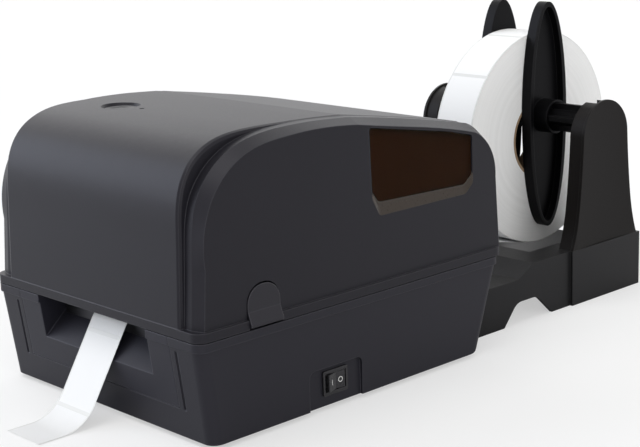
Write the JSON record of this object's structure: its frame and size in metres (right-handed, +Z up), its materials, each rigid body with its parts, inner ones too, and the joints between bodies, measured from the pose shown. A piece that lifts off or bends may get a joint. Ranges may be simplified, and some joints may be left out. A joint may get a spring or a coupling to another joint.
{
  "type": "thermal label printer",
  "caption": "Desktop thermal label printer with hinged hood, side windows, feed button and power rocker, fed by a label roll on an external stand behind it.",
  "frame": {"origin": "middle of the footprint, on the table", "axes": "+X to the printer's right, +Y to the back along the label path, +Z up"},
  "size_m": [0.2292, 0.5872, 0.235],
  "materials": {
    "base_plastic": "fine-textured charcoal ABS",
    "hood_plastic": "fine-textured charcoal ABS",
    "button_plastic": "satin charcoal plastic",
    "window_tint": "smoked amber acrylic",
    "lens_clear": "clear light pipe",
    "foot_rubber": "soft rubber",
    "inner_plastic": "grey moulded plastic",
    "guide_plastic": "blue-grey touch-point plastic",
    "platen_rubber": "ground rubber",
    "steel": "ground steel",
    "gear_plastic": "natural acetal",
    "brass_pinion": "turned brass",
    "bushing_plastic": "oil-filled black plastic",
    "motor_case": "black-coated steel",
    "board_green": "solder-masked board",
    "socket_black": "moulded black socket",
    "socket_metal": "plated shell",
    "switch_black": "glossy black switch plastic",
    "core_card": "grey-brown cardboard tube",
    "ribbon_film": "black wax ribbon",
    "head_ceramic": "glazed ceramic strip",
    "head_metal": "extruded aluminium",
    "stand_plastic": "satin black ABS",
    "spindle_plastic": "satin black plastic",
    "label_paper": "white coated paper"
  },
  "bodies": {
    "base": {"lower_housing": "base_plastic", "front_panel": "base_plastic", "rubber_feet": "foot_rubber", "media_deck": "inner_plastic", "deck_screws": "steel", "platen_bushings": "bushing_plastic", "idler_post": "steel", "stepper_motor": "motor_case", "tear_bar": "steel", "circuit_board": "board_green", "board_standoffs": "brass_pinion", "dc_inlet": "socket_black", "usb_socket": "socket_metal", "switch_housing": "switch_black", "hinge_pins": "steel", "stand_base": "stand_plastic", "upright_left": "stand_plastic", "upright_right": "stand_plastic", "label_web": "label_paper"},
    "platen": {"platen_roller": "platen_rubber", "platen_shaft": "steel", "platen_gear": "gear_plastic"},
    "idler": {"idler_gear": "gear_plastic"},
    "pinion": {"motor_pinion": "brass_pinion", "motor_shaft": "steel"},
    "guide_left": {"label_guide_left": "guide_plastic"},
    "guide_right": {"label_guide_right": "guide_plastic"},
    "guide_gear": {"guide_pinion": "gear_plastic"},
    "rocker": {"power_rocker": "switch_black"},
    "lid": {"lid_shell": "hood_plastic", "window_left": "window_tint", "window_right": "window_tint", "status_lens": "lens_clear", "ribbon_frame": "inner_plastic", "print_head": "head_ceramic", "head_bracket": "head_metal", "head_springs": "steel"},
    "tab_left": {"release_tab_left": "hood_plastic"},
    "tab_right": {"release_tab_right": "hood_plastic"},
    "feed_key": {"feed_button": "button_plastic"},
    "ribbon_supply": {"supply_core": "core_card", "ribbon_roll": "ribbon_film"},
    "ribbon_takeup": {"takeup_core": "core_card"},
    "spindle": {"roll_spindle": "spindle_plastic"},
    "paddle_left": {"roll_guide_left": "spindle_plastic"},
    "paddle_right": {"roll_guide_right": "spindle_plastic"},
    "roll": {"label_roll": "label_paper", "roll_core": "core_card"}
  },
  "joints": [
    {"name": "lid_hinge", "type": "hinge", "parent": "base", "child": "lid", "pos_m": [0, 0.04209, 0.075], "axis": [-1, 0, 0], "range_deg": [0, 60]},
    {"name": "tab_left_pull", "type": "hinge", "parent": "lid", "child": "tab_left", "pos_m": [-0.1045, -0.18266, 0.0914], "axis": [0, 1, 0], "range_deg": [0, 5], "stiffness_Nm_per_rad": 0.3, "springref_deg": -2.86},
    {"name": "tab_right_pull", "type": "hinge", "parent": "lid", "child": "tab_right", "pos_m": [0.1045, -0.18266, 0.0914], "axis": [0, -1, 0], "range_deg": [0, 5], "stiffness_Nm_per_rad": 0.3, "springref_deg": -2.86},
    {"name": "feed_press", "type": "slide", "parent": "lid", "child": "feed_key", "axis": [0, 0, -1], "range_m": [0, 0.0015], "stiffness_N_per_m": 800, "springref_m": -0.0005},
    {"name": "rocker_tilt", "type": "hinge", "parent": "base", "child": "rocker", "pos_m": [0.1068, -0.12241, 0.0185], "axis": [0, 0, -1], "range_deg": [0, 14]},
    {"name": "platen_spin", "type": "hinge", "parent": "base", "child": "platen", "pos_m": [0, -0.19691, 0.0574], "axis": [1, 0, 0], "continuous": true},
    {"name": "idler_spin", "type": "hinge", "parent": "base", "child": "idler", "pos_m": [-0.076, -0.17676, 0.03925], "axis": [1, 0, 0], "continuous": true},
    {"name": "pinion_spin", "type": "hinge", "parent": "base", "child": "pinion", "pos_m": [-0.076, -0.15933, 0.02919], "axis": [1, 0, 0], "continuous": true},
    {"name": "guide_right_slide", "type": "slide", "parent": "base", "child": "guide_right", "axis": [1, 0, 0], "range_m": [0, 0.034]},
    {"name": "guide_left_slide", "type": "slide", "parent": "base", "child": "guide_left", "axis": [-1, 0, 0], "range_m": [0, 0.034]},
    {"name": "guide_pinion_turn", "type": "hinge", "parent": "base", "child": "guide_gear", "pos_m": [0, -0.14891, 0.0521], "axis": [0, 0, -1], "range_deg": [0, 245]},
    {"name": "supply_spin", "type": "hinge", "parent": "lid", "child": "ribbon_supply", "pos_m": [0, -0.11891, 0.126], "axis": [1, 0, 0], "continuous": true},
    {"name": "takeup_spin", "type": "hinge", "parent": "lid", "child": "ribbon_takeup", "pos_m": [0, -0.17491, 0.133], "axis": [1, 0, 0], "continuous": true},
    {"name": "spindle_lift", "type": "slide", "parent": "base", "child": "spindle", "axis": [0, 0, 1], "range_m": [0, 0.04]},
    {"name": "paddle_right_slide", "type": "slide", "parent": "spindle", "child": "paddle_right", "axis": [1, 0, 0], "range_m": [0, 0.0325]},
    {"name": "paddle_left_slide", "type": "slide", "parent": "spindle", "child": "paddle_left", "axis": [-1, 0, 0], "range_m": [0, 0.0325]},
    {"name": "roll_spin", "type": "hinge", "parent": "spindle", "child": "roll", "pos_m": [0, 0.20609, 0.1229], "axis": [1, 0, 0], "continuous": true}
  ],
  "couplings": [
    {"joint": "idler_spin", "follows": "platen_spin", "ratio": -0.8},
    {"joint": "pinion_spin", "follows": "platen_spin", "ratio": 2.4},
    {"joint": "guide_left_slide", "follows": "guide_right_slide", "ratio": 1},
    {"joint": "guide_pinion_turn", "follows": "guide_right_slide", "rad_per_m": 125}
  ]
}
